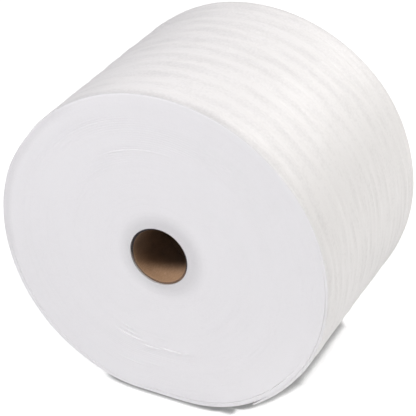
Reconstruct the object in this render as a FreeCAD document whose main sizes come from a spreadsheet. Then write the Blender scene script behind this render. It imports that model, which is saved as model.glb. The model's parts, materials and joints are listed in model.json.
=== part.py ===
import FreeCAD, Part

import math
import os

import Sketcher
from FreeCAD import Vector

# Foam wrap roll: one long web of thin white foam, wound on a cardboard core and laid on its side.
# The foam is soft, so the roll has settled: it has a flat under it and is not quite round.
# The origin is on the core's axis, midway along the roll. +Y runs along that axis, +Z is up, and
# seen from the front, looking along +Y, the web's loose end (its tail) lies low on the right.

# Each driving size: its name, its value in millimetres or degrees, and what it is.
# A bearing is the way the roll's skin faces, counterclockwise from +X as seen from the front.
DRIVING_SIZES = [
    ("roll_width", 304.8, "width of the web, end face to end face"),
    ("wound_radius", 231.0, "radius of the right-hand side of the roll"),
    ("crown_swell", 4.0, "how much larger the radius is over the top"),
    ("toe_tightening", 57.0, "how much smaller the radius is between the flat and the tail"),
    ("settling", 11.8, "how much lower the axis lies than a round roll's"),
    ("flat_length", 69.0, "length of the flat that the roll rests on"),
    ("shoulder_bearing", 62.0, "where the right-hand side passes into the crown"),
    ("cheek_bearing", 164.0, "where the crown passes into the left-hand side"),
    ("heel_bearing", 246.0, "where the left-hand side passes into the tighter heel"),
    ("tail_bearing", 305.0, "where the outermost turn ends"),
    ("foam_gauge", 3.2, "thickness of the foam web"),
    ("tail_lift", 0.8, "gap between the end of the tail and the turn under it"),
    ("rim_round", 4.0, "rounding of the soft outer edge of each end face"),
    ("dish_width", 14.0, "width of the dip round the core in each end face"),
    ("dish_depth", 2.5, "depth of that dip where it meets the bore"),
    ("core_bore", 76.2, "inside diameter of the cardboard core"),
    ("core_wall", 3.2, "wall thickness of the core"),
    ("core_recess", 3.0, "how far each end of the core sits inside the end face"),
    ("core_clearance", 0.1, "room all round between the core and the innermost turn"),
]

SHEET_NAME = "sizes"
DOWNWARD = 270.0
FULL_TURN = 360.0
LINEAR_TOLERANCE = 1e-6


def add_size_sheet(doc):
    """Spreadsheet of the driving sizes, each cell known by its alias."""
    sheet = doc.addObject("Spreadsheet::Sheet", SHEET_NAME)
    for row, (alias, value, meaning) in enumerate(DRIVING_SIZES, start=1):
        sheet.set(f"A{row}", meaning)
        sheet.set(f"B{row}", str(value))
        sheet.setAlias(f"B{row}", alias)
    doc.recompute()
    return sheet


def read_sizes(sheet):
    return {alias: float(sheet.get(alias)) for alias, _, _ in DRIVING_SIZES}


def cells(formula):
    """An expression on the sheet's cells, with each {alias} written as its cell."""
    aliases = {alias: f"{SHEET_NAME}.{alias}" for alias, _, _ in DRIVING_SIZES}
    return formula.format(**aliases)


def add_body(doc, name):
    body = doc.addObject("PartDesign::Body", name)
    body.Label = name
    body.Placement = FreeCAD.Placement()
    return body


def add_sketch(body, name, plane_role):
    """A sketch on one of the body's own origin planes."""
    sketch = body.newObject("Sketcher::SketchObject", name)
    plane = next(item for item in body.Origin.OriginFeatures if item.Role == plane_role)
    sketch.AttachmentSupport = [(plane, "")]
    sketch.MapMode = "FlatFace"
    return sketch


def constrain(sketch, kind, *references, formula=None):
    """Add a constraint, bound to the sheet if it has a formula."""
    index = sketch.addConstraint(Sketcher.Constraint(kind, *references))
    if formula is not None:
        name = f"size_{index}"
        sketch.renameConstraint(index, name)
        sketch.setExpression(f"Constraints.{name}", cells(formula))


def facing(bearing):
    """Unit vector in a sketch's plane that points along a bearing."""
    angle = math.radians(bearing)
    return Vector(math.cos(angle), math.sin(angle), 0)


def outline_radii(size):
    """Radii of the right, crown, left, heel and toe arcs of the roll's outline.

    The left and heel radii are those that bring the outline back to where it began.
    """
    right = size["wound_radius"]
    crown = right + size["crown_swell"]
    toe = right - size["toe_tightening"]
    tail, shoulder = facing(size["tail_bearing"]), facing(size["shoulder_bearing"])
    cheek, heel, down = facing(size["cheek_bearing"]), facing(size["heel_bearing"]), facing(DOWNWARD)
    tail_step = size["foam_gauge"] + size["tail_lift"]

    covered = (shoulder - tail) * right + (cheek - shoulder) * crown + (tail - down) * toe
    covered += Vector(size["flat_length"], 0, 0) + tail * tail_step
    left_chord, heel_chord = heel - cheek, down - heel
    spread = left_chord.x * heel_chord.y - left_chord.y * heel_chord.x
    left_radius = (covered.y * heel_chord.x - covered.x * heel_chord.y) / spread
    heel_radius = (left_chord.y * covered.x - left_chord.x * covered.y) / spread
    return right, crown, left_radius, heel_radius, toe


def draw_outline(sketch, size):
    """Closed outline of the wound roll: five tangent arcs, the flat and the end of the tail."""
    right, crown, left, heel, toe = outline_radii(size)
    tail_start = size["tail_bearing"] - FULL_TURN
    flat_half = size["flat_length"] / 2
    floor = size["settling"] - right

    def draw_arc(start_point, radius, first, last):
        centre = start_point - facing(first) * radius
        circle = Part.Circle(centre, Vector(0, 0, 1), radius)
        arc = Part.ArcOfCircle(circle, math.radians(first), math.radians(last))
        return sketch.addGeometry(arc), centre + facing(last) * radius

    flat_start, flat_end = Vector(-flat_half, floor, 0), Vector(flat_half, floor, 0)
    flat = sketch.addGeometry(Part.LineSegment(flat_start, flat_end))
    toe_arc, toe_end = draw_arc(flat_end, toe, DOWNWARD, size["tail_bearing"])
    tail_tip = toe_end + facing(tail_start) * (size["foam_gauge"] + size["tail_lift"])
    tail_end = sketch.addGeometry(Part.LineSegment(toe_end, tail_tip))
    right_arc, shoulder = draw_arc(tail_tip, right, tail_start, size["shoulder_bearing"])
    crown_arc, cheek = draw_arc(shoulder, crown, size["shoulder_bearing"], size["cheek_bearing"])
    left_arc, heel_start = draw_arc(cheek, left, size["cheek_bearing"], size["heel_bearing"])
    heel_arc, _ = draw_arc(heel_start, heel, size["heel_bearing"], DOWNWARD)

    start, end, middle, origin = 1, 2, 3, -1
    for former, latter in [(flat, toe_arc), (right_arc, crown_arc), (crown_arc, left_arc),
                           (left_arc, heel_arc), (heel_arc, flat)]:
        constrain(sketch, "Tangent", former, end, latter, start)
    constrain(sketch, "Perpendicular", toe_arc, end, tail_end, start)
    constrain(sketch, "Perpendicular", tail_end, end, right_arc, start)
    constrain(sketch, "Distance", tail_end, size["foam_gauge"] + size["tail_lift"],
              formula="{foam_gauge} + {tail_lift}")

    constrain(sketch, "Horizontal", flat)
    constrain(sketch, "DistanceX", flat, start, flat, end, size["flat_length"],
              formula="{flat_length}")
    constrain(sketch, "DistanceX", flat, start, origin, start, flat_half,
              formula="{flat_length} / 2")
    constrain(sketch, "DistanceY", flat, start, origin, start, -floor,
              formula="{wound_radius} - {settling}")
    constrain(sketch, "Radius", right_arc, right, formula="{wound_radius}")
    constrain(sketch, "Radius", crown_arc, crown, formula="{wound_radius} + {crown_swell}")
    constrain(sketch, "Radius", toe_arc, toe, formula="{wound_radius} - {toe_tightening}")

    # A spoke from an arc's centre to its end holds the bearing there.
    for arc, centre_radius, bearing_name in [(right_arc, right, "shoulder_bearing"),
                                             (crown_arc, crown, "cheek_bearing"),
                                             (left_arc, left, "heel_bearing"),
                                             (toe_arc, toe, "tail_bearing")]:
        rim_point = sketch.getPoint(arc, end)
        centre = rim_point - facing(size[bearing_name]) * centre_radius
        spoke = sketch.addGeometry(Part.LineSegment(centre, rim_point), True)
        constrain(sketch, "Coincident", spoke, start, arc, middle)
        constrain(sketch, "Coincident", spoke, end, arc, end)
        constrain(sketch, "Angle", spoke, math.radians(size[bearing_name]),
                  formula="{" + bearing_name + "}")


def draw_bore_section(sketch, size):
    """Half section of the bore and its two dips, closed along the roll's axis."""
    half_width = size["roll_width"] / 2
    bore_radius = size["core_bore"] / 2 + size["core_wall"] + size["core_clearance"]
    mouth_radius = bore_radius + size["dish_width"]
    bore_end = half_width - size["dish_depth"]
    corners = [Vector(-half_width, 0, 0), Vector(half_width, 0, 0),
               Vector(half_width, mouth_radius, 0), Vector(bore_end, bore_radius, 0),
               Vector(-bore_end, bore_radius, 0), Vector(-half_width, mouth_radius, 0)]
    edges = [sketch.addGeometry(Part.LineSegment(first, second))
             for first, second in zip(corners, corners[1:] + corners[:1])]
    axis_edge, right_end, right_dip, bore_edge, _, left_end = edges

    start, end, origin, vertical_axis = 1, 2, -1, -2
    for former, latter in zip(edges, edges[1:] + edges[:1]):
        constrain(sketch, "Coincident", former, end, latter, start)
    constrain(sketch, "Horizontal", axis_edge)
    for upright in (right_end, left_end):
        constrain(sketch, "Vertical", upright)
    constrain(sketch, "Symmetric", axis_edge, start, axis_edge, end, origin, start)
    constrain(sketch, "Symmetric", bore_edge, start, bore_edge, end, vertical_axis)
    constrain(sketch, "Equal", right_end, left_end)
    constrain(sketch, "DistanceX", axis_edge, start, axis_edge, end, size["roll_width"],
              formula="{roll_width}")
    constrain(sketch, "DistanceX", right_dip, end, right_dip, start, size["dish_depth"],
              formula="{dish_depth}")
    constrain(sketch, "DistanceY", right_dip, end, right_dip, start, size["dish_width"],
              formula="{dish_width}")
    constrain(sketch, "DistanceY", axis_edge, start, bore_edge, end, bore_radius,
              formula="{core_bore} / 2 + {core_wall} + {core_clearance}")


def rim_edges(shape, size):
    """Names of the outline's edges at both ends, without the end of the tail."""
    half_width = size["roll_width"] / 2
    tail_step = size["foam_gauge"] + size["tail_lift"]

    def on_end(edge):
        return all(abs(abs(vertex.Y) - half_width) < LINEAR_TOLERANCE for vertex in edge.Vertexes)

    def along_end(edge):
        return edge.Vertexes[0].Y * edge.Vertexes[-1].Y > 0

    def tail_end(edge):
        return isinstance(edge.Curve, Part.Line) and abs(edge.Length - tail_step) < LINEAR_TOLERANCE

    return [f"Edge{index}" for index, edge in enumerate(shape.Edges, start=1)
            if on_end(edge) and along_end(edge) and not tail_end(edge)]


def build_foam_roll(doc, size):
    """The whole wound web as one solid, with its flat, its tail's end and its bore."""
    body = add_body(doc, "foam_roll")
    outline = add_sketch(body, "outline", "XZ_Plane")
    draw_outline(outline, size)
    winding = body.newObject("PartDesign::Pad", "winding")
    winding.Profile = outline
    winding.SideType = "Symmetric"
    winding.setExpression("Length", cells("{roll_width}"))
    doc.recompute()

    rims = body.newObject("PartDesign::Fillet", "soft_rims")
    rims.Base = (winding, rim_edges(winding.Shape, size))
    rims.setExpression("Radius", cells("{rim_round}"))
    doc.recompute()

    bore_section = add_sketch(body, "bore_section", "YZ_Plane")
    draw_bore_section(bore_section, size)
    bore = body.newObject("PartDesign::Groove", "bore")
    bore.Profile = bore_section
    bore.ReferenceAxis = (bore_section, ["H_Axis"])
    bore.Angle = FULL_TURN
    doc.recompute()
    return body


def build_core_tube(doc, size):
    """The cardboard tube, square cut, a little shorter than the web is wide."""
    body = add_body(doc, "core_tube")
    section = add_sketch(body, "tube_section", "XZ_Plane")
    inner_radius = size["core_bore"] / 2
    centre, origin = 3, -1
    for radius, formula in [(inner_radius, "{core_bore} / 2"),
                            (inner_radius + size["core_wall"], "{core_bore} / 2 + {core_wall}")]:
        circle = section.addGeometry(Part.Circle(Vector(), Vector(0, 0, 1), radius))
        constrain(section, "Coincident", circle, centre, origin, 1)
        constrain(section, "Radius", circle, radius, formula=formula)
    tube = body.newObject("PartDesign::Pad", "tube")
    tube.Profile = section
    tube.SideType = "Symmetric"
    tube.setExpression("Length", cells("{roll_width} - 2 * {core_recess}"))
    doc.recompute()
    return body


def check_document(doc):
    """Stop if any object failed or any sketch has a free dimension left."""
    for item in doc.Objects:
        if "Invalid" in item.State or "Error" in item.State:
            raise RuntimeError(f"{item.Name} failed: {item.State}")
        if item.TypeId == "Sketcher::SketchObject" and not item.FullyConstrained:
            raise RuntimeError(f"{item.Name} is not fully constrained")


def check_solid(body):
    shape = body.Shape
    if shape.isNull() or not shape.isValid() or len(shape.Solids) != 1:
        raise RuntimeError(f"{body.Label} is not one valid solid")


def main():
    doc = FreeCAD.newDocument("foam_wrap_roll")
    size = read_sizes(add_size_sheet(doc))
    pieces = [build_foam_roll(doc, size), build_core_tube(doc, size)]
    doc.recompute()
    check_document(doc)
    for piece in pieces:
        check_solid(piece)
    os.makedirs("parts", exist_ok=True)
    for piece in pieces:
        piece.Shape.exportStep(f"parts/{piece.Label}.step")
        box = piece.Shape.optimalBoundingBox()
        print(f"{piece.Label}: {piece.Shape.Volume / 1000:.1f} cm3, "
              f"{box.XLength:.1f} x {box.YLength:.1f} x {box.ZLength:.1f} mm")


main()
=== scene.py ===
import json
import math

import bmesh
import bpy
import numpy as np
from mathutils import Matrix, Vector, noise
from mathutils.bvhtree import BVHTree


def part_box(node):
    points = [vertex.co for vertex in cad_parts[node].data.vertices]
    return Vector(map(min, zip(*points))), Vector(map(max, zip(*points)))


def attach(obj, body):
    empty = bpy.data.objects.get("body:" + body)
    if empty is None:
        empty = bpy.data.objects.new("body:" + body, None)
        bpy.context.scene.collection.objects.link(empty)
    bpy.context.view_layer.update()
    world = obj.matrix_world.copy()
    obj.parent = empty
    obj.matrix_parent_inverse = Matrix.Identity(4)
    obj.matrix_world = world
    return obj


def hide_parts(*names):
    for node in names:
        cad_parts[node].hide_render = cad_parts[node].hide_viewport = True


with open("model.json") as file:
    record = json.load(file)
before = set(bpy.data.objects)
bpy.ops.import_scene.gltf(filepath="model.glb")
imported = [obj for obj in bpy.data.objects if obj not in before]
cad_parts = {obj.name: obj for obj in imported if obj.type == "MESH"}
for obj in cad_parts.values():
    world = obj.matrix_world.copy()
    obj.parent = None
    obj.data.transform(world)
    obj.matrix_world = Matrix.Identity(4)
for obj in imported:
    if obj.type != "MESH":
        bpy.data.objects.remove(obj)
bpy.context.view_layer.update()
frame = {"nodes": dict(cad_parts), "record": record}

bl_info = {
    "name": "Foam Wrap Roll",
    "version": (1, 0, 0),
    "blender": (4, 5, 0),
    "location": "View3D > Sidebar > Foam Roll",
    "description": "Builds the wound foam web, its cardboard core and the stage round the packed frame",
    "category": "Object",
}

FULL_TURN = 2 * math.pi
FOAM_NODE = "foam_roll"
CORE_NODE = "core_tube"
FOAM_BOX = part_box(FOAM_NODE)
CORE_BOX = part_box(CORE_NODE)
CORE_BORE_RADIUS = next(
    mount["dims"]["r_mm"] / 1000 for mount in frame["record"]["mounts"] if mount["name"] == "core_bore"
)
FOAM_BORE_RADIUS = CORE_BOX[1].x + 0.0001  # a hair's gap round the core
SIDES = (-1, 1)  # front end face, back end face
TURN_SIGN = -1  # with no window, transform.rotate turns the other way


# ---------------------------------------------------------------- sizes and colours

class FoamWebSettings(bpy.types.PropertyGroup):
    """Sizes and colours of the wound foam web."""

    gauge: bpy.props.FloatProperty(
        name="Web thickness", description="Thickness of one turn of foam", default=0.0032, unit="LENGTH")
    rim_width: bpy.props.FloatProperty(
        name="Rim width", description="Width of the soft rounded rim, across the outermost turns",
        default=0.0036, unit="LENGTH")
    rim_depth: bpy.props.FloatProperty(
        name="Rim depth", description="How far the outermost turn's edges are set back at each end",
        default=0.0005, unit="LENGTH")
    edge_round: bpy.props.FloatProperty(
        name="Edge rounding", description="Rounding of the outermost turn's two edges",
        default=0.0006, unit="LENGTH")
    groove_depth: bpy.props.FloatProperty(
        name="Groove depth", description="Usual depth of the groove between two turns in an end face",
        default=0.00014, unit="LENGTH")
    loose_groove_depth: bpy.props.FloatProperty(
        name="Loose groove depth", default=0.0012, unit="LENGTH",
        description="Extra depth of the groove where the outermost turns are loose")
    proud_height: bpy.props.FloatProperty(
        name="Proud height", description="How far a proud turn's edge stands out", default=0.0016,
        unit="LENGTH")
    dish_width: bpy.props.FloatProperty(
        name="Dish width", description="Width of the dip in each end face round the core",
        default=0.024, unit="LENGTH")
    dish_depth: bpy.props.FloatProperty(
        name="Dish depth", description="Depth of that dip at the core", default=0.0008, unit="LENGTH")
    bulge: bpy.props.FloatProperty(
        name="Bulge", description="How far the outer turns bulge: on the left in front, at the top behind",
        default=0.0026, unit="LENGTH")
    rib_pitch: bpy.props.FloatProperty(
        name="Rib pitch", description="Usual distance between two ribs across the web",
        default=0.0105, unit="LENGTH")
    rib_height: bpy.props.FloatProperty(
        name="Rib height", description="Height of the ribs of the web's skin", default=0.00065, unit="LENGTH")
    band_pitch: bpy.props.FloatProperty(
        name="Band pitch", description="Distance between two thick bands across the web",
        default=0.028, unit="LENGTH")
    band_height: bpy.props.FloatProperty(
        name="Band height", description="Height of the thick bands of the web", default=0.0003, unit="LENGTH")
    tail_length: bpy.props.FloatProperty(
        name="Loose tail", description="Length of the tail that stands off the turn under it",
        default=0.055, unit="LENGTH")
    tail_lift: bpy.props.FloatProperty(
        name="Tail lift", description="Gap under the very end of the tail", default=0.0008, unit="LENGTH")
    colour: bpy.props.FloatVectorProperty(
        name="Foam colour", description="Colour of the foam", subtype="COLOR", size=3,
        default=(0.86, 0.855, 0.85), min=0, max=1)


class CoreSettings(bpy.types.PropertyGroup):
    """Sizes and colours of the cardboard core."""

    ply_lead: bpy.props.FloatProperty(
        name="Seam lead", description="How far the ply's seam moves along the core in one turn",
        default=0.112, unit="LENGTH")
    seam_width: bpy.props.FloatProperty(
        name="Seam width", description="Width of the gap between the inner ply's edges",
        default=0.0012, unit="LENGTH")
    ply_thickness: bpy.props.FloatProperty(
        name="Ply thickness", description="Thickness of one ply of board", default=0.0006, unit="LENGTH")
    seam_depth: bpy.props.FloatProperty(
        name="Seam depth", description="Depth of the gap between the inner ply's edges",
        default=0.00035, unit="LENGTH")
    colour: bpy.props.FloatVectorProperty(
        name="Board colour", description="Main colour of the kraft board", subtype="COLOR", size=3,
        default=(0.53, 0.325, 0.185), min=0, max=1)
    fibre_colour: bpy.props.FloatVectorProperty(
        name="Fibre colour", description="Colour of the board's lighter fibres", subtype="COLOR", size=3,
        default=(0.67, 0.45, 0.28), min=0, max=1)


class StageSettings(bpy.types.PropertyGroup):
    """Camera, lamps and floor."""

    azimuth: bpy.props.FloatProperty(
        name="Azimuth", description="Way the camera looks, turned from +Y towards -X",
        default=math.radians(26.38), subtype="ANGLE")
    elevation: bpy.props.FloatProperty(
        name="Elevation", description="How far the camera looks down", default=math.radians(30.97),
        subtype="ANGLE")
    distance: bpy.props.FloatProperty(
        name="Distance", description="From the camera to the point that it looks at", default=2.164,
        unit="LENGTH")
    target: bpy.props.FloatVectorProperty(
        name="Target", description="Point that the camera looks at", size=3,
        default=(-0.00447, 0.0, -0.0093), subtype="TRANSLATION")
    lens: bpy.props.FloatProperty(
        name="Lens", description="Focal length in millimetres on a sensor 36 mm wide", default=138.1)
    ambient: bpy.props.FloatProperty(
        name="Ambient", description="Strength of the even light from all round", default=0.0)
    ambient_colour: bpy.props.FloatVectorProperty(
        name="Ambient colour", description="Colour of the even light", subtype="COLOR", size=3,
        default=(0.97, 0.98, 1.0), min=0, max=1)
    floor_gain: bpy.props.FloatProperty(
        name="Floor gain", description="How bright the lit floor shows", default=0.3)
    floor_glow: bpy.props.FloatProperty(
        name="Floor glow", description="How bright the floor shows where no lamp reaches it", default=0.92)
    contact_reach: bpy.props.FloatProperty(
        name="Contact reach", description="How far the shadow reaches in front of the roll's front end",
        default=0.015, unit="LENGTH")
    shadow_reach: bpy.props.FloatProperty(
        name="Shadow reach", description="How far the shadow reaches beside the roll's skin",
        default=0.0393, unit="LENGTH")


# ---------------------------------------------------------------- helpers

def deselect_all():
    if bpy.context.mode != "OBJECT":
        bpy.ops.object.mode_set(mode="OBJECT")
    bpy.ops.object.select_all(action="DESELECT")


def select_only(piece):
    deselect_all()
    piece.select_set(True)
    bpy.context.view_layer.objects.active = piece


def add_mesh_object(name, vertices, faces):
    mesh = bpy.data.meshes.new(name)
    mesh.from_pydata(vertices, [], faces)
    piece = bpy.data.objects.new(name, mesh)
    bpy.context.scene.collection.objects.link(piece)
    return piece


def select_in_edit_mode(piece, kind, test):
    """Opens a piece for editing with only those vertices, edges or faces selected that pass a test."""
    select_only(piece)
    bpy.ops.object.mode_set(mode="EDIT")
    bpy.ops.mesh.select_mode(type=kind)
    bpy.ops.mesh.select_all(action="DESELECT")
    mesh = bmesh.from_edit_mesh(piece.data)
    for part in {"VERT": mesh.verts, "EDGE": mesh.edges, "FACE": mesh.faces}[kind]:
        part.select_set(bool(test(part)))
    mesh.select_flush_mode()
    bmesh.update_edit_mesh(piece.data)


def apply_modifier(piece, kind, **settings):
    select_only(piece)
    modifier = piece.modifiers.new(kind.lower(), kind)
    for name, value in settings.items():
        setattr(modifier, name, value)
    bpy.ops.object.modifier_apply(modifier=modifier.name)


def close_mesh(piece, merge_distance):
    """Merges points that meet and turns every face outwards."""
    select_in_edit_mode(piece, "VERT", lambda vertex: True)
    bpy.ops.mesh.remove_doubles(threshold=merge_distance)
    bpy.ops.mesh.normals_make_consistent(inside=False)
    bpy.ops.object.mode_set(mode="OBJECT")


def smooth_faces(piece, angle):
    select_only(piece)
    bpy.ops.object.shade_smooth_by_angle(angle=angle)


def finish_piece(piece, material, node):
    """A finished piece rides with the roll, stands for its CAD node and takes the material it is given."""
    piece.data.materials.clear()
    piece.data.materials.append(material)
    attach(piece, "root")
    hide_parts(node)


def bearing_of(point):
    """Angle round the roll's axis from +X towards +Z."""
    return math.atan2(point.z, point.x)


def smooth_step(value):
    """0 below 0, 1 above 1 and an even slope between."""
    value = np.clip(value, 0.0, 1.0)
    return value * value * (3 - 2 * value)


def within(value, first, fade_in, last, fade_out):
    """1 in a stretch and 0 outside it, fading in past its first end and out before its last."""
    return smooth_step((value - first) / fade_in) * smooth_step((last - value) / fade_out)


def on_circle(bearing):
    """The point at a bearing that is 1 from the roll's axis."""
    return Vector((math.cos(bearing), 0, math.sin(bearing)))


def skin_noise(around, around_scale, across, across_scale, seed):
    """Smooth noise on the skin, about -1 to 1, scaled round the roll and across the web."""
    return noise.noise(around * around_scale + Vector((0, across_scale * across, seed)))


def end_noise(part, around_scale, turns, turns_scale, seed):
    """Smooth noise on an end face, about -1 to 1, scaled round the roll and over its turns."""
    bearing = FULL_TURN * part
    around = (around_scale * math.cos(bearing), around_scale * math.sin(bearing))
    return noise.noise((turns_scale * turns + seed, *around))


class NodeGraph:
    """Short way to add linked shader nodes to a new material or world."""

    def __init__(self, owner, output_kind="OutputMaterial"):
        owner.use_nodes = True
        self.owner = owner
        self.tree = owner.node_tree
        self.tree.nodes.clear()
        self.output = self.tree.nodes.new(f"ShaderNode{output_kind}")

    def add(self, kind, inputs=None, **settings):
        """A node with its settings, each input given a value or another node's output socket."""
        node = self.tree.nodes.new(f"ShaderNode{kind}")
        for name, value in settings.items():
            setattr(node, name, value)
        for name, value in (inputs or {}).items():
            self.feed(node.inputs[name], value)
        return node

    def feed(self, socket, value):
        if isinstance(value, bpy.types.NodeSocket):
            self.tree.links.new(value, socket)
        else:
            socket.default_value = value

    def maths(self, operation, first, second=0.0, clamp=False):
        return self.add("Math", {0: first, 1: second}, operation=operation, use_clamp=clamp).outputs[0]

    def blend(self, factor, first, second):
        """A mix of two colours."""
        node = self.add("Mix", data_type="RGBA")
        factor_socket, first_socket, second_socket = node.inputs[0], node.inputs[6], node.inputs[7]
        self.feed(factor_socket, factor)
        self.feed(first_socket, first)
        self.feed(second_socket, second)
        return node.outputs[2]

    def ramp(self, value, start, end, low=0.0, high=1.0, curve="LINEAR"):
        """Turns start to end into low to high, and stays level past both."""
        inputs = {"Value": value, "From Min": start, "From Max": end, "To Min": low, "To Max": high}
        return self.add("MapRange", inputs, interpolation_type=curve).outputs["Result"]

    def speckle(self, place, scale, detail, distortion=0.0):
        """Value of a noise texture, 0.5 on average."""
        inputs = {"Vector": place, "Scale": scale, "Detail": detail, "Distortion": distortion}
        return self.add("TexNoise", inputs).outputs["Fac"]

    def bump(self, height, distance, strength=1.0, normal=None):
        inputs = {"Height": height, "Distance": distance, "Strength": strength}
        if normal is not None:
            inputs["Normal"] = normal
        return self.add("Bump", inputs).outputs["Normal"]

    def finish(self, shader):
        self.feed(self.output.inputs["Surface"], shader.outputs[0])
        return self.owner

    def stretched_place(self, scale):
        """Object coordinates in metres, scaled along each axis."""
        place = self.add("TexCoord").outputs["Object"]
        return self.add("Mapping", {"Vector": place, "Scale": scale}).outputs["Vector"]


# ---------------------------------------------------------------- foam web

TONE_SHADE = 0.02  # how much darker one unit of the web's tone is


class WoundWeb:
    """Where each point of the wound web lies.

    A place along the web is counted in turns from its loose end: 0 is the end of the tail, and the
    web winds inwards, counterclockwise from the tail's bearing as seen from the front. The part of
    a turn past that bearing gives the column, and every turn has the same columns.
    """

    LEVELS = (0.0, 0.2, 0.8)  # across the thickness of one turn, from its outer skin inwards
    PROUD_EDGES = (  # turn, first and last bearing in degrees on the front end face, and share of the height
        (26, 244, 260, 1.0), (28, 247, 255, 0.7), (30, 245, 252, 0.7), (24, 261, 268, 0.8),
        (25, 272, 287, 1.0), (30, 268, 272, 0.6), (13, 251, 262, 0.5), (15, 263, 270, 0.4),
        (24, 84, 116, 0.25),
    )
    PROUD_FADE = 6  # degrees
    PROUD_SHIFT_AT_BACK = 137  # the back end face has its proud edges this many degrees further round

    # Stretches, each with its first end, its fade in, its last end and its fade out.
    LOOSE_STRETCHES = ((1.02, 0.05, 1.22, 0.10), (2.66, 0.05, 3.10, 0.10))  # turns where the web has opened
    BULGE_IN_FRONT = (143, 20, 246, 25)  # bearings in degrees, like the next three
    BULGE_BEHIND = (8, 35, 135, 35)
    # Bearings of the painted shade on the end faces' outer turns, on the left.
    PAINTED_RIM_SHADE_STRETCH = (118, 14, 204, 20)
    # Bearings of the painted shade on the skin along its ends, at the top.
    PAINTED_EDGE_SHADE_STRETCH = (30, 30, 150, 30)

    # How much each adds to the web's tone (unit TONE_SHADE): painted shade in the first three, random tone in
    # the last.
    RIM_SHADE_TONES = 5
    EDGE_SHADE_TONES = 6
    BAND_SHADE_TONES = 0.95
    TURN_TONE = 0.7

    # Turns that the painted shade on the rim covers.
    SHADED_RIM_TURNS = 4
    # Width of the painted shade along the skin's ends.
    PAINTED_EDGE_SHADE_WIDTH = 0.015
    BULGING_TURNS = 14
    SQUEEZE_DEPTH = 0.0006
    SQUEEZE_WIDTH = 0.016
    CRUSHED_SHARE = 0.5  # of the web's thickness, at the tail's cut end
    CRUSHED_STRETCH = 0.25  # of the slit's length
    RIB_WANDER = 0.0030
    RIB_FADE = 0.006  # from the end face
    SWELL_HEIGHT = 0.0004
    BAND_WANDER = 0.004
    BAND_START = 0.006  # from the roll's middle
    SLOW_SHIFT = 0.00035
    QUICK_SHIFT = 0.00008

    def __init__(self, settings):
        self.settings = settings
        self.half_width = FOAM_BOX[1].y
        self.measure_outline()
        mean_build = float(np.mean(self.base_radius)) - FOAM_BORE_RADIUS
        slack = self.tail_step - settings.gauge
        self.turn_count = round((mean_build - slack) / settings.gauge)
        self.turn_share = (mean_build - slack) / mean_build / self.turn_count
        self.slack_share = slack / mean_build
        self.choose_columns()

    def measure_outline(self, sample_count=1440, smoothing=9):
        """Radius of the settled roll at each part of a turn, with the tail's step spread out evenly."""
        tree = BVHTree.FromObject(frame["nodes"][FOAM_NODE], bpy.context.evaluated_depsgraph_get())
        reach = 2 * self.half_width
        radii = []
        for index in range(sample_count):
            outward = on_circle(FULL_TURN * index / sample_count)
            radii.append(reach - tree.ray_cast(outward * reach, -outward)[3])
        radii = np.array(radii)
        tail_index = int(np.argmax(np.roll(radii, -1) - radii)) + 1
        radii = np.roll(radii, -tail_index)
        self.tail_bearing = FULL_TURN * (tail_index - 0.5) / sample_count
        self.tail_step = radii[0] - radii[-1]
        level = radii + self.tail_step * np.arange(sample_count) / sample_count
        window = np.hanning(2 * smoothing + 3)[1:-1]
        looped = np.concatenate([level[-smoothing:], level, level[:smoothing]])
        self.base_radius = np.convolve(looped, window / window.sum(), mode="valid")

    def choose_columns(self, even_count=168, tail_columns=(0.0, 0.12, 0.3, 0.6)):
        """Even columns round the roll, with closer ones at the very end of the tail."""
        even = np.arange(1, even_count) / even_count
        self.columns = np.concatenate([np.array(tail_columns) / even_count, even])
        tail_part = self.settings.tail_length / (FULL_TURN * self.base_radius[0])
        self.slit_end = int(np.searchsorted(self.columns, tail_part))
        self.slit_part = self.columns[self.slit_end]

    def skin_radius(self, part, turns):
        """Radius of the web's outer skin, a number of turns in from the end of the tail."""
        count = len(self.base_radius)
        place = (np.asarray(part) % 1.0) * count
        below = np.floor(place).astype(int)
        share = place - below
        base = self.base_radius[below % count] * (1 - share) + self.base_radius[(below + 1) % count] * share
        wound = self.turn_share * turns + self.slack_share * np.minimum(turns, 1.0)
        return FOAM_BORE_RADIUS + (base - FOAM_BORE_RADIUS) * np.clip(1 - wound, 0, 1)

    def degrees_round(self, part):
        """Bearing in degrees at each part of a turn."""
        return np.degrees(self.tail_bearing + FULL_TURN * np.asarray(part)) % 360

    def tail_thickness(self, part):
        """Thickness of the outermost turn: crushed at its cut end, and closed up past the slit."""
        separation = self.skin_radius(part, part) - self.skin_radius(part, 1 + part)
        gauge = self.settings.gauge
        crushed = self.CRUSHED_SHARE * (1 - smooth_step(part / (self.CRUSHED_STRETCH * self.slit_part)))
        closing = smooth_step(part / self.slit_part)
        return gauge * (1 - crushed) + (separation - gauge) * closing

    def tail_lift(self, part, across):
        """How far the loose tail stands off, uneven across the web."""
        loose = np.clip(1 - part / self.slit_part, 0, 1) ** 2
        if not np.any(loose):
            return 0 * loose
        uneven = min(1, max(0, 0.45 + 1.5 * noise.noise((0, 9 * across, 3))))
        return loose * self.settings.tail_lift * uneven

    def squeeze(self, across, turns):
        """How far the soft edges of the outermost turns give way inwards."""
        from_end = self.half_width - abs(across)
        outermost = 1 - smooth_step((turns - 0.60) / 0.36)  # gone before the first turn ends
        return self.SQUEEZE_DEPTH * (1 - smooth_step(from_end / self.SQUEEZE_WIDTH)) * outermost

    def bulge(self, part, across, turns):
        """How far the outer turns bulge: on the left in front, and at the top behind."""
        bearing = self.degrees_round(part)
        share = 0.5 + across / (2 * self.half_width)
        outer = 1 - smooth_step(np.asarray(turns) / self.BULGING_TURNS)
        in_front = within(bearing, *self.BULGE_IN_FRONT) * (1 - share)
        return self.settings.bulge * outer * (in_front + within(bearing, *self.BULGE_BEHIND) * share)

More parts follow.
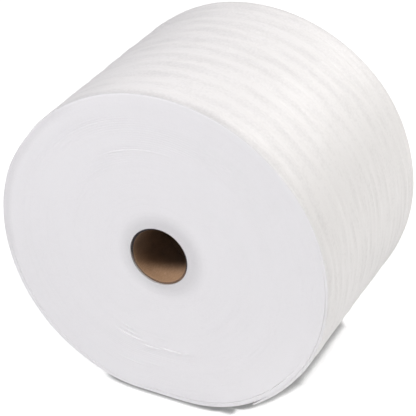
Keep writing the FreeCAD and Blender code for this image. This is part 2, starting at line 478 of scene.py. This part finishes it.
    def shade_painted_on_rim(self, part, turns):
        """Painted shade on an end face's outer turns, on the left."""
        on_rim = 1 - smooth_step((turns - 1) / self.SHADED_RIM_TURNS)
        return self.RIM_SHADE_TONES * within(self.degrees_round(part), *self.PAINTED_RIM_SHADE_STRETCH) * on_rim

    def shade_painted_on_skin_edge(self, part, from_end):
        """Painted shade on the skin along its two ends, at the top."""
        at_end = 1 - smooth_step(from_end / self.PAINTED_EDGE_SHADE_WIDTH)
        return self.EDGE_SHADE_TONES * within(self.degrees_round(part), *self.PAINTED_EDGE_SHADE_STRETCH) * at_end

    def edge_rounding(self, turns):
        """Rounding of the skin's edge at each end: less at the thin tail, and none past it underneath."""
        most = 0.4 * self.tail_thickness(np.minimum(turns, 1))
        past_tail = smooth_step((turns - 1) / self.slit_part)
        return np.minimum(self.settings.edge_round, most) * (1 - past_tail)

    def rib(self, part, across):
        """Height of the skin's ribs, which run round the roll, wander, and come and go."""
        size = self.settings
        around = on_circle(FULL_TURN * part)
        wander = self.RIB_WANDER * skin_noise(around, 2.6, across, 22, 9)
        place = (across + wander) / size.rib_pitch
        main = skin_noise(around, 3.4, place, 1.15, 0)
        fine = skin_noise(around, 7.0, place, 2.7, 5)
        swell = skin_noise(around, 3.0, across, 14, 17)
        from_end = self.half_width - size.rim_depth - abs(across)
        phase, strength = self.band(part, across)
        height = size.rib_height * (1.6 * main + 0.7 * fine) + self.SWELL_HEIGHT * swell
        height -= size.band_height * strength * math.sin(phase)
        return smooth_step(from_end / self.RIB_FADE) * height

    def band(self, part, across):
        """Phase of the web's thick and thin bands, which run round the roll, and how strong they are."""
        bearing = FULL_TURN * part
        around = on_circle(bearing)
        wander = self.BAND_WANDER * skin_noise(around, 1.3, across, 8, 31)
        from_side = abs((math.degrees(self.tail_bearing + bearing) + 180) % 360 - 180)
        strength = 0.3 + 1.6 * smooth_step((from_side - 26) / 30)  # faint on the roll's +X side
        strength *= 1 + 0.9 * skin_noise(around, 2.2, across, 20, 43)
        strength *= 1 - 0.75 * math.exp(-((from_side - 128) / 15) ** 2)  # and where the web is drawn tight
        return FULL_TURN * (across - self.BAND_START + wander) / self.settings.band_pitch, strength

    def shade_painted_between_bands(self, part, across):
        """Painted shade between the bands."""
        phase, strength = self.band(part, across)
        return self.BAND_SHADE_TONES * strength * (1 - math.cos(phase))

    def winding_shift(self, side, part, turns):
        """Small shift of a turn's edge along the axis: turns never stack quite in line."""
        slow = end_noise(part, 0.7, turns, 0.16, 31 * side)
        quick = end_noise(part, 0.7, turns, 1.7, 57 * side)
        return self.SLOW_SHIFT * (1 + slow) + self.QUICK_SHIFT * (1 + quick)

    def winding_tone(self, side, part, turns):
        """Lighter and darker turns of an end face."""
        return self.TURN_TONE * end_noise(part, 1.3, turns, 0.9, 77 * side)

    def groove_patch(self, side, part, turns):
        """0 where neighbouring turns lie flush, up to about 2 where their edges show."""
        return 2 * smooth_step(0.35 + 1.6 * end_noise(part, 1.1, turns, 0.12, 11 * side))

    def proud_edge(self, side, turn):
        """Where a turn's edge stands proud, from 0 to 1 along its columns."""
        bearing = np.degrees(self.tail_bearing + FULL_TURN * self.columns)
        if side > 0:
            bearing = bearing - self.PROUD_SHIFT_AT_BACK
        proud = np.zeros(len(bearing))
        for proud_turn, first, last, share in self.PROUD_EDGES:
            if turn == proud_turn:
                middle, reach = (first + last) / 2, (last - first) / 2
                from_middle = np.abs((bearing - middle + 180) % 360 - 180)
                inside = smooth_step((reach - from_middle) / self.PROUD_FADE + 0.5)
                proud = np.maximum(proud, share * inside)
        return proud

    def looseness(self, turns):
        """0 where the web is wound tight, up to 1 where it has opened."""
        loose = np.zeros(len(turns))
        for stretch in self.LOOSE_STRETCHES:
            loose = np.maximum(loose, within(turns, *stretch))
        return loose

    def end_depth(self, side, turn, level, radius):
        """How far a row of an end face lies inside the plane of the roll's end."""
        size = self.settings
        turns = turn + level + self.columns
        from_bore = smooth_step((radius - FOAM_BORE_RADIUS) / size.dish_width)
        turns_covered = turn + level + smooth_step((self.columns - 0.7) / 0.3)
        into_rim = np.clip(1 - turns_covered * size.gauge / size.rim_width, 0, 1)
        set_back = size.rim_depth * (1 - np.sqrt(1 - into_rim ** 2))
        places = list(zip(self.columns, turns))
        own_depth = np.array([self.winding_shift(side, *place) for place in places])
        if level == 0 and turn > 0:
            patch = np.array([self.groove_patch(side, *place) for place in places])
            own_depth += size.groove_depth * patch + size.loose_groove_depth * self.looseness(turns)
        elif level > 0:
            own_depth -= size.proud_height * self.proud_edge(side, turn)
        return set_back + size.dish_depth * (1 - from_bore) + own_depth * from_bore

    def end_face_rows(self, side):
        """Rows of an end face: one for each level of each turn, and a last one at the bore."""
        rows = []
        part = self.columns
        across = side * self.half_width
        for turn in range(self.turn_count):
            for level in self.LEVELS:
                turns = turn + level + part
                radius = self.skin_radius(part, turns)
                if turn == 0:
                    radius = self.skin_radius(part, part) - level * self.tail_thickness(part)
                    radius += self.tail_lift(part, across)
                depth = self.end_depth(side, turn, level, radius)
                if turn == 0 or level == 0:
                    radius = radius - (1 - level) * self.edge_rounding(turn + part)
                radius = radius - self.squeeze(across, turns) + self.bulge(part, across, turns)
                rows.append(self.place(part, radius, side * (self.half_width - depth)))
        dish_bottom = self.half_width - self.settings.dish_depth
        rows.append(self.place(part, FOAM_BORE_RADIUS, side * dish_bottom))
        return rows

    def place(self, part, radius, across):
        """Points at each part of a turn, a radius and a place across the web."""
        bearing = self.tail_bearing + FULL_TURN * np.asarray(part)
        x, y, z = np.broadcast_arrays(radius * np.cos(bearing), across, radius * np.sin(bearing))
        return np.stack([x, y, z], axis=-1)


class WebMesh:
    """The web's mesh, one closed surface: end faces, skin, slit under the tail, its cut end and the bore."""

    SKIN_ROWS = 150
    ROUNDING = (math.radians(30), math.radians(60))  # rows on a rounded edge, from the skin inwards
    LEAST_MARGIN = 0.0002

    def __init__(self, web):
        self.web = web
        self.points = []
        self.faces = []
        self.cut_face = []
        # Tone of each point: the turns' random tone, and painted shade.
        self.tone_and_painted_shade = []
        self.column_count = len(web.columns)
        self.levels = len(web.LEVELS)
        self.first_point = {}
        self.lips = {}
        for side in SIDES:
            self.add_end_face(side)
        self.add_bore()
        self.add_skin()

    def add_points(self, points, cut_face, tone_and_painted_shade=0.0):
        first = len(self.points)
        points = np.asarray(points).reshape(-1, 3)
        self.points.extend(map(tuple, points))
        self.cut_face.extend([cut_face] * len(points))
        self.tone_and_painted_shade.extend(np.broadcast_to(tone_and_painted_shade, len(points)))
        return first

    def end_point(self, side, row, column):
        """A point of an end face. A turn's last column runs on into the next turn's first."""
        if column == self.column_count:
            row, column = row + self.levels, 0
        row = min(row, self.web.turn_count * self.levels)
        return self.first_point[side] + row * self.column_count + column

    def add_end_face(self, side):
        web = self.web
        rows = web.end_face_rows(side)
        tones = []
        for row in range(len(rows)):
            turns = row // self.levels + web.columns
            tone = [web.winding_tone(side, part, turn) for turn, part in zip(turns, web.columns)]
            # Random tone of each turn, with painted shade on the outer turns on the left.
            tones.append(np.array(tone) + web.shade_painted_on_rim(web.columns, row / self.levels))
        self.first_point[side] = self.add_points(rows, 1.0, np.array(tones).ravel())

        slit_columns = web.columns[:web.slit_end]
        underside = web.skin_radius(slit_columns, slit_columns) - web.tail_thickness(slit_columns)
        underside += web.tail_lift(slit_columns, side * web.half_width)
        underside -= web.squeeze(side * web.half_width, slit_columns)
        underside += web.bulge(slit_columns, side * web.half_width, slit_columns)
        lip = web.place(slit_columns, underside, rows[self.levels - 1][:web.slit_end, 1])
        first_lip = self.add_points(lip, 1.0)
        self.lips[side] = [first_lip + column for column in range(web.slit_end)]

        for row in range(len(rows) - 1):
            for column in range(self.column_count):
                inner = [self.end_point(side, row + 1, column), self.end_point(side, row + 1, column + 1)]
                if row == self.levels - 1:
                    inner = [self.lips[side][place] if place < web.slit_end else point
                             for place, point in zip((column, column + 1), inner)]
                self.add_face(self.end_point(side, row, column),
                              self.end_point(side, row, column + 1), inner[1], inner[0])

    def add_bore(self):
        last = self.web.turn_count * self.levels
        for column in range(self.column_count):
            following = (column + 1) % self.column_count
            front, back = ([self.end_point(side, last, place) for place in (column, following)]
                           for side in SIDES)
            self.add_face(*front, *reversed(back))

    def skin_loop(self):
        """Columns of the skin, all the way round its section.

        Each is the part of a turn, the row and column of its end points (no row for a lip of the
        slit), the radius across the web and the rounding of its edges.
        """
        web = self.web
        for column, part in enumerate(web.columns):
            yield part, (0, column), self.outer_radius(part, 0), web.edge_rounding(part)
        for column, part in enumerate(web.columns[:web.slit_end + 1]):
            yield part, (self.levels, column), self.under_radius(part), web.edge_rounding(1 + part)
        for column in range(web.slit_end - 1, -1, -1):
            part = web.columns[column]
            yield part, (None, column), self.outer_radius(part, 1), 0.0
        for row in range(self.levels - 1, 0, -1):
            level = web.LEVELS[row]
            yield 0.0, (row, 0), self.outer_radius(0.0, level), (1 - level) * web.edge_rounding(0.0)

    def outer_radius(self, part, level):
        """Radius across the web at a level through the thickness of the outermost turn."""
        web = self.web

        def radius(across):
            skin = web.skin_radius(part, part) - level * web.tail_thickness(part)
            skin += web.bulge(part, across, part) - web.squeeze(across, part)
            return skin + web.rib(part, across) + web.tail_lift(part, across)
        return radius

    def under_radius(self, part):
        """Radius across the web of the turn that the tail lies on."""
        web = self.web
        return lambda across: (web.skin_radius(part, 1 + part) + web.rib(part, across)
                               + web.bulge(part, across, 1 + part) - web.squeeze(across, 1 + part))

    def add_skin(self):
        web = self.web
        columns = []
        for part, (row, column), radius, rounding in self.skin_loop():
            margin = max(rounding, self.LEAST_MARGIN)
            ends = [self.lips[side][column] if row is None else self.end_point(side, row, column)
                    for side in SIDES]
            front, back = (self.points[end][1] for end in ends)
            places = [(across, radius(across))
                      for across in np.linspace(front + margin, back - margin, self.SKIN_ROWS)]
            for angle in self.ROUNDING:
                inset = margin * (1 - math.sin(angle))
                drop = rounding * (1 - math.cos(angle))
                places.insert(0, (front + inset, radius(front + margin) - drop))
                places.append((back - inset, radius(back - margin) - drop))
            shape = np.array(places)
            points = web.place(part, shape[:, 1], shape[:, 0])
            points[:, 2] = np.maximum(points[:, 2], FOAM_BOX[0].z)  # it lies flat where the roll rests
            from_end = web.half_width - abs(shape[:, 0])
            # Painted shade along the skin's ends at the top and between its bands.
            bands = np.array([web.shade_painted_between_bands(part, across) for across in shape[:, 0]])
            first = self.add_points(points, 0.0, web.shade_painted_on_skin_edge(part, from_end) + bands)
            columns.append([ends[0], *range(first, first + len(places)), ends[1]])
        for here, there in zip(columns, columns[1:] + columns[:1]):
            for row in range(len(here) - 1):
                self.add_face(here[row], here[row + 1], there[row + 1], there[row])

    def add_face(self, *corners):
        """A face with its repeated corners left out."""
        corners = list(dict.fromkeys(corners))
        if len(corners) > 2:
            self.faces.append(corners)


def build_foam_web(settings):
    """The whole web as one mesh piece, with what its material reads."""
    shape = WebMesh(WoundWeb(settings))
    piece = add_mesh_object("foam_web", shape.points, shape.faces)
    # The tone attribute carries random tone and painted shade to the material.
    for name, values in (("cut_face", shape.cut_face), ("tone_and_painted_shade", shape.tone_and_painted_shade)):
        attribute = piece.data.attributes.new(name, "FLOAT", "POINT")
        attribute.data.foreach_set("value", np.array(values, dtype=np.float32))
    close_mesh(piece, merge_distance=0.00002)
    return piece


def foam_material(settings):
    """White polyethylene foam: closed cells and faint streaks on the skin, matter where it is cut, with
    painted shade round the core and from the web's tone.
    """
    graph = NodeGraph(bpy.data.materials.new("foam"))
    place = graph.add("TexCoord").outputs["Object"]
    cut_face = graph.add("Attribute", attribute_name="cut_face").outputs["Fac"]
    # The web's tone: random tone of the turns, and painted shade.
    tone_and_painted_shade = graph.add("Attribute", attribute_name="tone_and_painted_shade").outputs["Fac"]
    skin = graph.maths("SUBTRACT", 1.0, cut_face)

    # Painted shade: the foam is drawn darker round the core's hole.
    core_shade_centre, core_shade_width, core_painted_shade = (0.005, 0, 0.0025), 0.027, 0.18
    mottle_shade, cloud_shade, least_cell_shade, skin_cell_shade = 0.18, 0.03, 0.03, 0.09
    from_core = graph.add("VectorMath", {0: graph.stretched_place((1, 0, 1)), 1: core_shade_centre},
                          operation="DISTANCE").outputs[1]
    painted_shade_near_core = graph.ramp(from_core, FOAM_BORE_RADIUS, FOAM_BORE_RADIUS + core_shade_width, 1.0, 0.0, "SMOOTHSTEP")
    cloud = graph.speckle(place, 9.0, 3.0)
    cells = graph.add("TexVoronoi", {"Vector": place, "Scale": 340.0}, feature="SMOOTH_F1")
    cells = cells.outputs["Distance"]
    streaks = graph.speckle(graph.stretched_place((6, 330, 6)), 1.0, 2.0)
    grain = graph.speckle(place, 700.0, 2.0)
    mottle = graph.speckle(graph.stretched_place((22, 110, 22)), 1.0, 3.0)

    mottle = graph.maths("MULTIPLY", graph.maths("SUBTRACT", mottle, 0.5),
                         graph.maths("MULTIPLY", skin, mottle_shade))
    cloud = graph.maths("MULTIPLY", graph.maths("SUBTRACT", 0.5, cloud), cloud_shade)
    cell_shade = graph.maths("ADD", least_cell_shade, graph.maths("MULTIPLY", skin, skin_cell_shade))
    cell_shade = graph.maths("MULTIPLY", graph.maths("SUBTRACT", cells, 0.45), cell_shade)
    # Painted shade round the core, random mottle, cloud and cells, and the web's tone with its painted shade
    # all darken the foam.
    shade = graph.maths("MULTIPLY", painted_shade_near_core, core_painted_shade)
    for more in (mottle, cloud, graph.maths("MULTIPLY", tone_and_painted_shade, TONE_SHADE), cell_shade):
        shade = graph.maths("ADD", shade, more)
    colour = graph.blend(shade, (*settings.colour, 1), (0, 0, 0, 1))

    normal = graph.bump(cells, 0.00022, strength=0.8)
    normal = graph.bump(graph.maths("MULTIPLY", streaks, skin), 0.00035, normal=normal)
    normal = graph.bump(graph.maths("MULTIPLY", grain, cut_face), 0.00010, normal=normal)
    roughness = graph.maths("ADD", 0.48, graph.maths("MULTIPLY", cut_face, 0.42))
    return graph.finish(graph.add("BsdfPrincipled", {
        "Base Color": colour, "Roughness": roughness, "Normal": normal, "Subsurface Weight": 0.3,
        "Subsurface Radius": (1, 1, 1), "Subsurface Scale": 0.004, "Specular IOR Level": 0.35}))


# ---------------------------------------------------------------- cardboard core

def build_core_tube(settings):
    """A spiral-wound board tube: its inner ply's edges leave a narrow gap that winds along the bore."""
    outer_radius = CORE_BOX[1].x
    length = CORE_BOX[1].y - CORE_BOX[0].y
    column_count = 96
    cuts = (19, 14)  # 20 rows, then 15 in each
    deselect_all()
    bpy.ops.mesh.primitive_cylinder_add(
        vertices=column_count, radius=outer_radius, depth=length, end_fill_type="NOTHING",
        rotation=(math.pi / 2, 0, 0))
    tube = bpy.context.object
    tube.name = tube.data.name = "cardboard_core"
    bpy.ops.object.transform_apply()

    for cut_count in cuts:
        select_in_edit_mode(tube, "EDGE", lies_along_axis)
        bpy.ops.mesh.subdivide(number_cuts=cut_count)
        bpy.ops.object.mode_set(mode="OBJECT")

    column_angle = FULL_TURN / column_count
    seam_angle = settings.seam_width / CORE_BORE_RADIUS
    for line_bearing, way in ((0.0, 1), (column_angle, -1)):
        select_in_edit_mode(tube, "VERT", lambda point: abs(bearing_of(point.co) - line_bearing) < 0.001)
        bpy.ops.transform.rotate(value=way * TURN_SIGN * (column_angle - seam_angle) / 2, orient_axis="Y",
                                 center_override=(0, 0, 0))
        bpy.ops.object.mode_set(mode="OBJECT")

    apply_modifier(tube, "SOLIDIFY", thickness=outer_radius - CORE_BORE_RADIUS, offset=-1,
                   use_even_offset=True)
    apply_modifier(tube, "BEVEL", width=0.0010, segments=3, limit_method="ANGLE",
                   angle_limit=math.radians(60))
    select_in_edit_mode(tube, "FACE", lambda face: in_seam(face, column_angle, outer_radius))
    bpy.ops.mesh.extrude_region_shrink_fatten(
        TRANSFORM_OT_shrink_fatten={"value": -settings.seam_depth})
    bpy.ops.object.mode_set(mode="OBJECT")

    apply_modifier(tube, "SIMPLE_DEFORM", deform_method="TWIST", deform_axis="Y",
                   angle=FULL_TURN * length / settings.ply_lead)
    smooth_faces(tube, math.radians(35))
    return tube


def lies_along_axis(edge):
    """Whether an edge runs the way of the tube."""
    first, second = (point.co for point in edge.verts)
    return abs(first.x - second.x) + abs(first.z - second.z) < 0.00001


def in_seam(face, column_angle, outer_radius):
    """Whether a face belongs to the bore's narrow column."""
    centre = face.calc_center_median()
    outward = Vector((centre.x, 0, centre.z))
    on_bore = outward.length < (outer_radius + CORE_BORE_RADIUS) / 2 and face.normal.dot(outward) < 0
    return on_bore and abs(face.normal.y) < 0.5 and abs(bearing_of(centre) - column_angle / 2) < 0.01


def board_material(settings):
    """Kraft board: short lighter and darker fibres, ply lines on the cut ends, and painted shade on those
    ends and deep in the bore.
    """
    graph = NodeGraph(bpy.data.materials.new("kraft_board"))
    place = graph.add("TexCoord").outputs["Object"]
    cloud = graph.speckle(place, 60.0, 4.0)
    fibres = graph.speckle(graph.stretched_place((900, 220, 900)), 1.0, 3.0, distortion=0.6)
    from_axis = graph.add("VectorMath", {0: graph.stretched_place((1, 0, 1))}, operation="LENGTH").outputs[1]
    plies = graph.maths("SINE", graph.maths("MULTIPLY", from_axis, FULL_TURN / settings.ply_thickness))
    facing = graph.add("SeparateXYZ", {"Vector": graph.add("NewGeometry").outputs["Normal"]}).outputs["Y"]
    on_end = graph.ramp(graph.maths("ABSOLUTE", facing), 0.25, 0.8)

    lighter = graph.maths("MULTIPLY", graph.maths("SUBTRACT", fibres, 0.38), 2.2, clamp=True)
    colour = graph.blend(lighter, (*settings.colour, 1), (*settings.fibre_colour, 1))
    shade = graph.maths("MULTIPLY", graph.maths("SUBTRACT", 0.55, cloud), 0.35, clamp=True)
    # Painted shade on the cut ends: they are drawn much darker than the board, with the ply lines on top.
    ends_painted_shade_and_plies = graph.maths("ADD", 0.62, graph.maths("MULTIPLY", plies, 0.15))
    shade = graph.maths("ADD", shade, graph.maths("MULTIPLY", ends_painted_shade_and_plies, on_end), clamp=True)

    # Painted shade: the bore is drawn darker inwards from both mouths, and sooner at the top than at the
    # bottom.
    parts = graph.add("SeparateXYZ", {"Vector": place}).outputs
    height = graph.maths("MULTIPLY", graph.maths("ADD", parts["Z"], CORE_BORE_RADIUS), 1.3)
    from_middle = graph.maths("SUBTRACT", graph.maths("ABSOLUTE", parts["Y"]), height)
    bore_painted_shade = graph.ramp(from_middle, 0.088, 0.134, 0.60, 0.0, "SMOOTHSTEP")
    shade = graph.maths("ADD", shade, bore_painted_shade, clamp=True)
    colour = graph.blend(shade, colour, (0.05, 0.042, 0.042, 1))
    normal = graph.bump(fibres, 0.00008)
    normal = graph.bump(graph.maths("MULTIPLY", plies, on_end), 0.0001, normal=normal)
    return graph.finish(graph.add("BsdfPrincipled", {
        "Base Color": colour, "Roughness": 0.85, "Normal": normal, "Specular IOR Level": 0.25}))


# ---------------------------------------------------------------- stage

LAMPS = (
    # name, bearing from the front towards +X and elevation in degrees, size (m), power (W), colour
    ("key", -35, 52, 1.0, 50.9, (0.99, 0.965, 1.0)),
    ("side", 90, 45, 1.5, 37.4, (1.0, 0.97, 0.94)),
    ("back", 150, 35, 1.5, 36.8, (1.0, 0.98, 0.97)),
    ("low", 0, 8, 1.0, 20.9, (0.90, 0.91, 0.98)),
)
LAMP_DISTANCE = 3.0


def toward(bearing, elevation):
    """Direction from the roll: bearing from the front towards +X, elevation from level upwards."""
    level = math.cos(elevation)
    return Vector((math.sin(bearing) * level, -math.cos(bearing) * level, math.sin(elevation)))


def add_lamps():
    for name, bearing, elevation, size, power, colour in LAMPS:
        light = bpy.data.lights.new(name, "AREA")
        light.shape = "DISK"
        light.size = size
        light.energy = power
        light.color = colour
        lamp = bpy.data.objects.new(name, light)
        way = toward(math.radians(bearing), math.radians(elevation))
        lamp.location = way * LAMP_DISTANCE
        lamp.rotation_euler = way.to_track_quat("Z", "Y").to_euler()
        bpy.context.scene.collection.objects.link(lamp)


def shown_factor(graph):
    """1 for rays that show the background: from the camera, or by way of gloss or glass."""
    path = graph.add("LightPath").outputs
    seen = graph.maths("ADD", path["Is Camera Ray"], path["Is Glossy Ray"])
    return graph.maths("ADD", seen, path["Is Transmission Ray"], clamp=True)


def floor_material(settings):
    """Pale floor that shows white except close beside the roll, where a painted shadow from occlusion darkens
    it.
    """
    graph = NodeGraph(bpy.data.materials.new("pale_floor"))
    place = graph.add("TexCoord").outputs["Object"]
    paint = graph.maths("MULTIPLY", graph.speckle(place, 40.0, 2.0), 0.02)
    paint = graph.blend(paint, (0.92, 0.92, 0.92, 1), (0.8, 0.8, 0.8, 1))
    plain = graph.add("BsdfDiffuse", {"Color": paint}).outputs[0]

    # Painted shadow: occlusion by the roll darkens the floor's shown white beside it.
    nearby = graph.add("AmbientOcclusion", {"Distance": shadow_search(graph, place, settings),
                                            "Normal": shadow_way(graph)}).outputs["AO"]
    hidden, open_air, darkest = 0.79, 0.92, 0.25
    free = graph.ramp(nearby, hidden, open_air, darkest)
    bright = graph.add("BsdfDiffuse", {"Color": graph.maths("MULTIPLY", free, settings.floor_gain)})
    glow = graph.add("Emission", {"Strength": graph.maths("MULTIPLY", free, settings.floor_glow)})
    shown = graph.add("AddShader", {0: bright.outputs[0], 1: glow.outputs[0]}).outputs[0]
    return graph.finish(graph.add("MixShader", {0: shown_factor(graph), 1: plain, 2: shown}))


def shadow_way(graph):
    """The way that the floor looks for the roll: to the left and a little up, so its right is shaded."""
    way = toward(math.radians(-84), math.radians(15))
    return graph.add("CombineXYZ", {"X": way.x, "Y": way.y, "Z": way.z}).outputs[0]


def shadow_search(graph, place, settings):
    """How far the floor looks for the roll.

    It is short in front of the roll, where its end face meets the floor. It is longer behind that
    face, where the skin curves up from the floor, and shorter again near the back.
    """
    under_edge, past_edge = 0.75 * settings.contact_reach, 0.33 * settings.contact_reach
    rise_start, rise_end = FOAM_BOX[0].y + 0.0164, FOAM_BOX[0].y + 0.104
    across, along, _ = graph.add("SeparateXYZ", {"Vector": place}).outputs
    contact = graph.maths("ADD", graph.ramp(across, 0.05, 0.085, settings.contact_reach, under_edge),
                          graph.ramp(across, 0.088, 0.102, 0.0, past_edge))
    rise = graph.maths("POWER", graph.ramp(along, rise_start, rise_end), 0.6)
    reach = graph.maths("MULTIPLY", rise, settings.shadow_reach - under_edge)
    near_back = graph.ramp(along, 0.105, 0.145, 1.0, 0.6)
    return graph.maths("MULTIPLY", graph.maths("ADD", reach, contact), near_back)


def add_floor(settings):
    deselect_all()
    bpy.ops.mesh.primitive_plane_add(size=14, location=(0, 0, FOAM_BOX[0].z))
    floor = bpy.context.object
    floor.name = floor.data.name = "floor"
    bpy.ops.object.transform_apply()
    floor.data.materials.append(floor_material(settings))


def light_world(settings):
    """Even light from all round, shown as white."""
    graph = NodeGraph(bpy.data.worlds.new("studio"), "OutputWorld")
    light = graph.add("Background", {"Color": (*settings.ambient_colour, 1), "Strength": settings.ambient})
    backdrop = graph.add("Background", {"Color": (1, 1, 1, 1)})
    bpy.context.scene.world = graph.finish(graph.add("MixShader", {
        0: shown_factor(graph), 1: light.outputs[0], 2: backdrop.outputs[0]}))


def add_camera(settings):
    camera = bpy.data.objects.new("camera", bpy.data.cameras.new("camera"))
    camera.data.lens = settings.lens
    camera.data.sensor_width = 36
    camera.data.clip_end = 50
    way = toward(settings.azimuth, settings.elevation)
    camera.location = Vector(settings.target) + way * settings.distance
    camera.rotation_euler = way.to_track_quat("Z", "Y").to_euler()
    bpy.context.scene.collection.objects.link(camera)
    bpy.context.scene.camera = camera


# ---------------------------------------------------------------- operators and panel

class FOAM_ROLL_OT_wind_web(bpy.types.Operator):
    """Wind the foam web, with its loose tail, its ribbed skin and the edges of its turns."""

    bl_idname = "foam_roll.wind_web"
    bl_label = "Wind Foam Web"

    def execute(self, context):
        settings = context.scene.foam_web
        piece = build_foam_web(settings)
        smooth_faces(piece, math.radians(50))
        finish_piece(piece, foam_material(settings), FOAM_NODE)
        return {"FINISHED"}


class FOAM_ROLL_OT_make_core(bpy.types.Operator):
    """Make the spiral-wound cardboard core."""

    bl_idname = "foam_roll.make_core"
    bl_label = "Make Cardboard Core"

    def execute(self, context):
        settings = context.scene.cardboard_core
        finish_piece(build_core_tube(settings), board_material(settings), CORE_NODE)
        return {"FINISHED"}


class FOAM_ROLL_OT_set_stage(bpy.types.Operator):
    """Set up the floor, the lamps and the camera."""

    bl_idname = "foam_roll.set_stage"
    bl_label = "Set Stage"

    def execute(self, context):
        settings = context.scene.roll_stage
        add_floor(settings)
        add_lamps()
        light_world(settings)
        add_camera(settings)
        context.scene.view_settings.view_transform = "Standard"
        return {"FINISHED"}


class FOAM_ROLL_PT_panel(bpy.types.Panel):
    """Builds the roll step by step."""

    bl_idname = "FOAM_ROLL_PT_panel"
    bl_label = "Foam Wrap Roll"
    bl_space_type = "VIEW_3D"
    bl_region_type = "UI"
    bl_category = "Foam Roll"

    def draw(self, context):
        for operator in OPERATORS:
            self.layout.operator(operator.bl_idname)
        for name in SETTINGS:
            settings = getattr(context.scene, name)
            box = self.layout.box()
            for prop in settings.__annotations__:
                box.prop(settings, prop)


OPERATORS = (FOAM_ROLL_OT_wind_web, FOAM_ROLL_OT_make_core, FOAM_ROLL_OT_set_stage)
SETTINGS = {"foam_web": FoamWebSettings, "cardboard_core": CoreSettings, "roll_stage": StageSettings}


def register():
    for group in SETTINGS.values():
        bpy.utils.register_class(group)
    for name, group in SETTINGS.items():
        setattr(bpy.types.Scene, name, bpy.props.PointerProperty(type=group))
    for operator in OPERATORS:
        bpy.utils.register_class(operator)
    bpy.utils.register_class(FOAM_ROLL_PT_panel)


def unregister():
    bpy.utils.unregister_class(FOAM_ROLL_PT_panel)
    for operator in reversed(OPERATORS):
        bpy.utils.unregister_class(operator)
    for name, group in reversed(SETTINGS.items()):
        delattr(bpy.types.Scene, name)
        bpy.utils.unregister_class(group)


def main():
    register()
    bpy.ops.foam_roll.wind_web()
    bpy.ops.foam_roll.make_core()
    bpy.ops.foam_roll.set_stage()
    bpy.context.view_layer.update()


if __name__ == "__main__":
    main()
